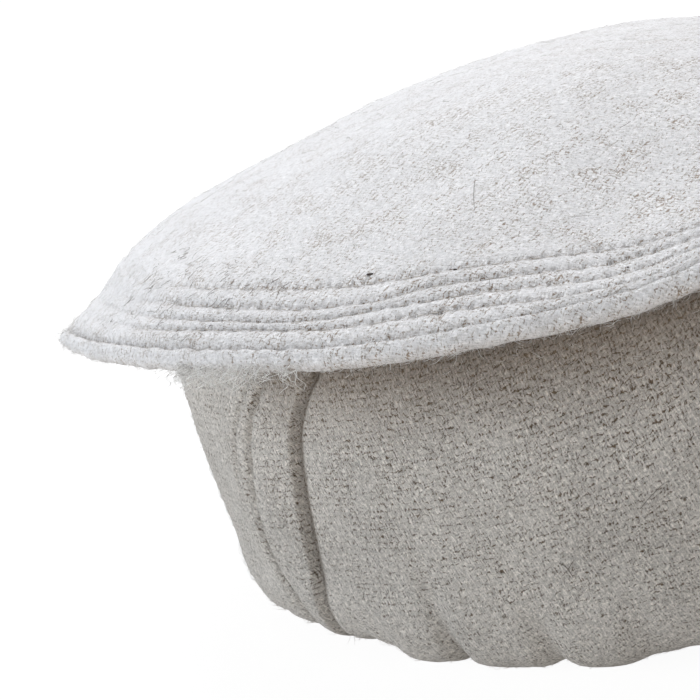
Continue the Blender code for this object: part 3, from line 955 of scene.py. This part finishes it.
def wool(name, light, dark, fleck, weave, speck, relief, felt, mottle, patchy, sewn=False):
    """Thick fulled twill. weave is how much its yarns show, speck how many dark fibres lie in its gaps,
    relief the height of its surface in mm, felt from 0 to 1 how far the nap hides the yarns, mottle how
    uneven the colour is, patchy how far the dark fibres gather in patches. sewn adds the stitch holes in the
    brim's rows."""
    net = Net(name)
    place = net.node("ShaderNodeUVMap", uv_map="cloth")
    moved = place
    for scale, size in ((0.5, 1.3), (2.4, 0.5)):
        shift = net.noise(place, scale, 2.0, 0.6, out=1)
        shift = net.vector("SUBTRACT", {0: shift, 1: (0.5, 0.5, 0.5)})
        moved = net.vector("ADD", {0: moved, 1: net.scaled(shift, size)})

    # The twill: which yarn is on top, and how high it stands
    u, v = net.dot(moved, 0.0) / WARP, net.dot(moved, 90.0) / WEFT
    a, b = net.math("FLOOR", u), net.math("FLOOR", v)
    fa, fb = u - a, v - b
    step = net.math("FLOOR", net.math("FLOORED_MODULO", a - b + 0.5, 4.0))
    warp_up = net.math("LESS_THAN", step, 1.5)
    weft_up = 1.0 - warp_up

    def arch(value, power):
        sine = net.math("SINE", value * math.pi)
        return net.math("POWER", net.math("MAXIMUM", sine, 0.0001), power)

    warp_height = arch(fa, 0.7) * (arch((1.0 - step + fb) / 2.0, 0.6) * 0.62 + 0.38)
    weft_height = arch(fb, 0.7) * (arch((step - 2.0 + fa) / 2.0, 0.6) * 0.6 + 0.32)
    height = warp_up * warp_height + weft_up * weft_height
    pit = net.ramp(height, 0.1, 0.6, 1.0, 0.0)
    own_yarn = warp_up * (a + YARN_OFFSETS[0]) + weft_up * (b + YARN_OFFSETS[1])
    yarn = net.node("ShaderNodeTexWhiteNoise", {"W": own_yarn}, 0, noise_dimensions="1D")

    # Fibres that lie across the picture of the weave, and curls of nap
    lying = net.noise(net.turned(moved, 22.0, 0.65, 2.9), 1.0, 3.0, 0.62)
    steep = net.noise(net.turned(place, 108.0, 0.6, 3.0), 1.0, 3.0, 0.62)
    curl = net.noise(moved, 2.2, 3.0, 0.66)
    cloud = net.noise(place, 0.75, 3.0, 0.65)
    nap = net.noise(place, 0.13, 3.0, 0.6)
    patch = net.noise(place, 0.04, 2.0, 0.6)

    shown = 1.0 - net.math("MULTIPLY", net.ramp(nap, 0.3, 0.7), felt, clamp=True)
    # Dark fibres show where the surface is low in every way at once, light ones where it is high
    deep = (0.5 - lying) * 3.9
    for layer, share in ((curl, 2.0), (steep, 1.9), (cloud, 1.1), (nap, patchy)):
        deep += (0.5 - layer) * share
    deep += pit - 0.4
    # The pits between the yarns are painted darker: painted shade where the weave dips
    shade = net.ramp(deep, 0.25, 1.0) * speck + pit * shown * weave
    raised = net.ramp((steep - 0.5) * 4.0 + (curl - 0.5) * 1.8, 0.1, 0.8)
    tone = 1.0 + (yarn - 0.5) * (0.1 * mottle) + raised * (0.22 * mottle)
    for layer, share in ((lying, 0.9), (steep, 0.9), (curl, 1.0), (cloud, 0.5), (patch, 0.3)):
        tone += (layer - 0.5) * (share * mottle)
    surface = height * shown * (0.6 * min(1.0, weave * 3.0))
    for layer, share in ((lying, 1.0), (steep, 0.9), (curl, 1.0), (nap, 0.8)):
        surface += layer * share
    # Painted shading from a point attribute: painted shade makes the cloth darker, painted light below 0
    # makes it paler
    painted_shading = net.node("ShaderNodeAttribute", attribute_name="painted_shading", out=2)
    shade += painted_shading * PAINTED_SHADE_STRENGTH
    tone -= net.math("MINIMUM", painted_shading, 0.0) * PAINTED_LIGHT_STRENGTH
    if sewn:
        groove = net.node("ShaderNodeAttribute", attribute_name="groove", out=2)
        where = net.node("ShaderNodeTexCoord", out=3)
        x = net.vector("DOT_PRODUCT", {0: where, 1: (1.0, 0.0, 0.0)}, out=1)
        y = net.vector("DOT_PRODUCT", {0: where, 1: (0.0, 1.0, 0.0)}, out=1)
        turn = net.math("ARCTAN2", x, y * -1.0)
        hole = net.ramp(net.math("SINE", turn * float(STITCH_COUNT) + cloud * 5.0), -0.5, 0.9)
        hole = (hole * 0.75 + 0.25) * net.ramp(curl * 0.6 + lying * 0.4, 0.58, 0.42)
        sunk = net.math("POWER", net.math("MAXIMUM", groove, 0.0001), 1.2) * hole
        # Painted shade: the stitch holes are painted darker as well as sunk in relief
        shade += sunk * STITCH_HOLE_SHADE
        surface -= sunk * STITCH_HOLE_DEPTH
        # The cloth is worn smoother towards the back and the left side
        calm = net.ramp(x * 0.6 - y, -0.08, 0.115, 0.4, 1.0)
        shade *= calm
        tone = 1.0 + (tone - 1.0) * calm
        surface *= calm
    body = net.mix(net.math("MULTIPLY", shade, 1.0, clamp=True), rgb(light), rgb(dark))
    spot = net.ramp(net.noise(net.turned(place, 22.0, 1.0, 2.4), 1.0, 2.0, 0.55), 0.58, 0.72)
    spot *= net.ramp(net.noise(place, 0.1, 2.0, 0.5), 0.42, 0.62, 0.2, 1.0)
    spot = net.math("MULTIPLY", spot, 0.4 * speck, clamp=True)
    bump = net.node("ShaderNodeBump", {"Height": surface, "Distance": relief * MM, "Strength": 1.0})
    net.set_shader(Base_Color=net.mix(spot, net.scaled(body, tone), rgb(fleck)), Normal=bump, Roughness=0.95)
    net.set_shader(Specular_IOR_Level=0.15, Sheen_Weight=0.15, Sheen_Roughness=0.45)
    net.set_shader(Sheen_Tint=rgb((1.0, 0.98, 0.96)))
    return net.material


def strand(name, light, dark, rough=0.7, sheen=0.15):
    """Loose fibre or thread, with the colour uneven along it."""
    net = Net(name)
    uneven = net.noise(net.node("ShaderNodeTexCoord", out=3), 900.0, 2.0, 0.6, kind="3D")
    body = net.mix(net.ramp(uneven, 0.35, 0.65), rgb(light), rgb(dark))
    net.set_shader(Base_Color=body, Roughness=rough, Specular_IOR_Level=0.25, Sheen_Weight=sheen)
    return net.material


# Camera, light and floor

LIGHTS = (  # name, place, aim, size, power, colour
    ("overhead", (0.08, 0.32, 1.0), (0.0, 0.0, 0.08), (1.3, 1.1), 15.8, (0.965, 0.98, 1.0)),
    ("left", (-1.1, -0.25, 0.14), (0.0, 0.0, 0.06), (0.7, 0.6), 8.2, (0.86, 0.93, 1.0)),
    ("front", (0.2, -1.3, 0.14), (0.0, 0.0, 0.06), (1.2, 0.5), 4.4, (1.0, 0.985, 0.965)),
)
FLOOR_REACH = 9.0
FLOOR_BOUNCE = (0.78, 0.77, 0.755)
# painted light: the floor glows onto the cap from below
FLOOR_PAINTED_GLOW = 0.13
FLOOR_SHADOW = (0.11, 0.11, 0.11)  # how strongly light and shadow show on the white that is seen
# the seen floor glows dimmer near the cap: a painted shadow round it
SEEN_NEAR = (0.12, 0.95)  # distance from the middle in metres, brightness
SEEN_FAR = (0.5, 1.05)
AMBIENT = 0.15
AMBIENT_COLOUR = (0.93, 0.96, 1.0)


def facing(place, right, up, back):
    """A matrix for a thing at place, in metres, with these axes."""
    turn = Matrix([list(row) for row in np.stack([right, up, back], axis=1)]).to_4x4()
    turn.translation = place
    return turn


def make_camera():
    """The camera at the photograph's viewing angle, turned to see the cap's middle at PIVOT_PIXEL."""
    raised, rolled = math.radians(CAMERA_ELEVATION), math.radians(CAMERA_ROLL)
    pivot = np.array([0.0, 0.0, PIVOT_HEIGHT])
    place = pivot + CAMERA_DISTANCE * np.array([0.0, -math.cos(raised), math.sin(raised)])
    forward = (pivot - place) / CAMERA_DISTANCE
    right = np.array([1.0, 0.0, 0.0])
    up = np.cross(right, forward)
    leaning_right = right * math.cos(rolled) - up * math.sin(rolled)
    leaning_up = up * math.cos(rolled) + right * math.sin(rolled)
    axes = np.stack([leaning_right, leaning_up, forward])
    half = PICTURE_SIDE / 2
    seen = np.array([PIVOT_PIXEL[0] - half, half - PIVOT_PIXEL[1], FOCAL_PIXELS])
    seen /= np.linalg.norm(seen)
    axis = np.cross([0.0, 0.0, 1.0], seen)
    sine, cosine = np.linalg.norm(axis), seen[2]
    axis /= sine
    cross = np.array([[0, -axis[2], axis[1]], [axis[2], 0, -axis[0]], [-axis[1], axis[0], 0]])
    axes = (np.eye(3) + sine * cross + (1 - cosine) * cross @ cross) @ axes
    data = bpy.data.cameras.new("camera")
    data.sensor_width = SENSOR
    data.lens = FOCAL_PIXELS / PICTURE_SIDE * SENSOR
    data.clip_start = 0.01
    data.clip_end = 50.0
    camera = link(bpy.data.objects.new("camera", data))
    camera.matrix_world = facing(place * MM, axes[0], axes[1], -axes[2])
    bpy.context.scene.camera = camera


def area_light(name, place, aim, size, power, colour):
    data = bpy.data.lights.new(name, "AREA")
    data.shape = "RECTANGLE"
    data.size, data.size_y = size
    data.energy = power
    data.color = colour
    towards = np.array(aim, float) - np.array(place, float)
    towards /= np.linalg.norm(towards)
    side = np.cross(towards, (0.0, 1.0, 0.0) if abs(towards[2]) > 0.9 else (0.0, 0.0, 1.0))
    side /= np.linalg.norm(side)
    lamp = link(bpy.data.objects.new(name, data))
    lamp.matrix_world = facing(place, side, np.cross(side, towards), -towards)


def make_floor():
    """A plain white floor. What it gives back to the cap is a plain grey with a painted glow, painted light
    from below, and what is seen of it is white, with a faint shadow and a painted shadow where it glows
    dimmer near the cap."""
    floor = bpy.data.meshes.new("floor")
    corners = [(x * FLOOR_REACH, y * FLOOR_REACH, 0) for x, y in ((-1, -1), (1, -1), (1, 1), (-1, 1))]
    floor.from_pydata(corners, [], [(0, 1, 2, 3)])
    net = Net("floor_paint")
    net.tree.nodes.remove(net.shader)
    far = net.vector("LENGTH", {0: net.node("ShaderNodeTexCoord", out=3)}, out=1)
    white = net.ramp(far, SEEN_NEAR[0], SEEN_FAR[0], SEEN_NEAR[1], SEEN_FAR[1])

    def glowing(colour, strength):
        paint = net.node("ShaderNodeBsdfDiffuse", {"Color": rgb(colour)})
        glow = net.node("ShaderNodeEmission", {"Strength": strength})
        return net.node("ShaderNodeAddShader", {0: paint, 1: glow})

    # What lights the cap glows as painted light; what is seen glows white, dimmer near the cap as a painted
    # shadow
    back, seen = glowing(FLOOR_BOUNCE, FLOOR_PAINTED_GLOW), glowing(FLOOR_SHADOW, white)
    mixed = net.node("ShaderNodeMixShader", {0: net.node("ShaderNodeLightPath"), 1: back, 2: seen})
    net.put(net.tree.nodes["Material Output"].inputs["Surface"], mixed)
    floor.materials.append(net.material)
    link(bpy.data.objects.new("floor", floor))


def make_surround():
    """White where the camera sees it, and a weak light on the cap."""
    world = bpy.data.worlds.new("surround")
    world.use_nodes = True
    bpy.context.scene.world = world
    nodes, links = world.node_tree.nodes, world.node_tree.links
    nodes.clear()
    mixed = nodes.new("ShaderNodeMixShader")
    links.new(nodes.new("ShaderNodeLightPath").outputs["Is Camera Ray"], mixed.inputs[0])
    for slot, colour, strength in ((1, AMBIENT_COLOUR, AMBIENT), (2, (1.0, 1.0, 1.0), SEEN_FAR[1])):
        light = nodes.new("ShaderNodeBackground")
        light.inputs[0].default_value = rgb(colour)
        light.inputs[1].default_value = strength
        links.new(light.outputs[0], mixed.inputs[slot])
    links.new(mixed.outputs[0], nodes.new("ShaderNodeOutputWorld").inputs[0])


ROLLED_WOOL = {
    "light": (0.595, 0.56, 0.518),
    "dark": (0.165, 0.118, 0.078),
    "fleck": (0.26, 0.2, 0.155),
    "weave": 0.2,
    "speck": 1.05,
    "relief": 0.3,
    "felt": 0.6,
    "mottle": 1.0,
}
CROWN_ROWS = DOME_RINGS + APRON_RINGS + (ROW_COUNT - 1) * len(RIDGE_STEPS)  # rings as far as the bead

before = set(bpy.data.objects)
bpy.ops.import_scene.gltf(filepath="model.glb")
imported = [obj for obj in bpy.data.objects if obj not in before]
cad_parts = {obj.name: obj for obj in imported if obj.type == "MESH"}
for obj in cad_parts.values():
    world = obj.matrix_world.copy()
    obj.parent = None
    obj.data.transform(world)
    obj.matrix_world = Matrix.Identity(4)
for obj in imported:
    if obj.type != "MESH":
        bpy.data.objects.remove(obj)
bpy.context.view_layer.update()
crown, crown_grid = make_crown()
band, band_grid = make_band()
wall = make_wall()
crown_wool = wool(
    "crown_wool",
    light=(0.765, 0.752, 0.755),
    dark=(0.32, 0.25, 0.19),
    fleck=(0.34, 0.26, 0.2),
    weave=0.16,
    speck=0.85,
    relief=0.15,
    felt=0.8,
    mottle=0.55,
    patchy=2.6,
    sewn=True,
)
band_wool = wool("band_wool", patchy=1.2, **ROLLED_WOOL)
wall_wool = wool("wall_wool", patchy=1.3, **ROLLED_WOOL)
pale = strand("pale_fibre", (0.86, 0.85, 0.83), (0.66, 0.63, 0.6))
beige = strand("beige_fibre", (0.8, 0.77, 0.73), (0.5, 0.45, 0.4))
thread = strand("stitch_thread", (0.7, 0.66, 0.62), (0.55, 0.5, 0.45), 0.85)
curly = strand("curly_fibre", (0.95, 0.94, 0.92), (0.86, 0.84, 0.81), 0.6, 0.3)
dark_hair = strand("dark_hair", (0.2, 0.16, 0.13), (0.1, 0.08, 0.065), 0.6, 0.0)
husk = strand("husk", (0.09, 0.07, 0.06), (0.05, 0.04, 0.035), 0.8, 0.0)

crown_spans = ((0, DOME_RINGS + APRON_RINGS - 1, 8500), (DOME_RINGS + APRON_RINGS - 1, CROWN_ROWS, 8000))
rim_spans = ((CROWN_ROWS - 3, CROWN_ROWS + len(BEAD), 9000),)
band_spans = ((4, 82, 15000),)
crown_fuzz = fibres(
    "crown_fibres", crown_grid, crown_spans, length=(1.6, 4.6), lean=(0.02, 0.24), thick=(0.026, 0.046)
)
rim_fuzz = fibres(
    "rim_fibres", crown_grid, rim_spans, length=(1.0, 3.6), lean=(0.1, 0.75), thick=(0.028, 0.048)
)
band_fuzz = fibres(
    "band_fibres", band_grid, band_spans, length=(1.5, 4.4), lean=(0.05, 0.4), thick=(0.028, 0.048)
)
for piece, material, slot in (
    (crown, crown_wool, "crown_wool"),
    (band, band_wool, "band_wool"),
    (wall, wall_wool, "wall_wool"),
    (crown_fuzz, pale, "crown_wool"),
    (rim_fuzz, pale, "crown_wool"),
    (band_fuzz, beige, "band_wool"),
    (make_stitches(), thread, "crown_wool"),
    (make_hairs(band_grid, crown_grid), dark_hair, "band_wool"),
    (make_hanging(), curly, "crown_wool"),
    (make_specks(), husk, "crown_wool"),
):
    piece.data.materials.append(material)
    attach(piece, "root")
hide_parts("crown")
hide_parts("rolled_band")
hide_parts("head_wall")

make_camera()
for light in LIGHTS:
    area_light(*light)
make_floor()
make_surround()
bpy.context.scene.view_settings.view_transform = "Standard"
bpy.context.scene.view_settings.look = "None"
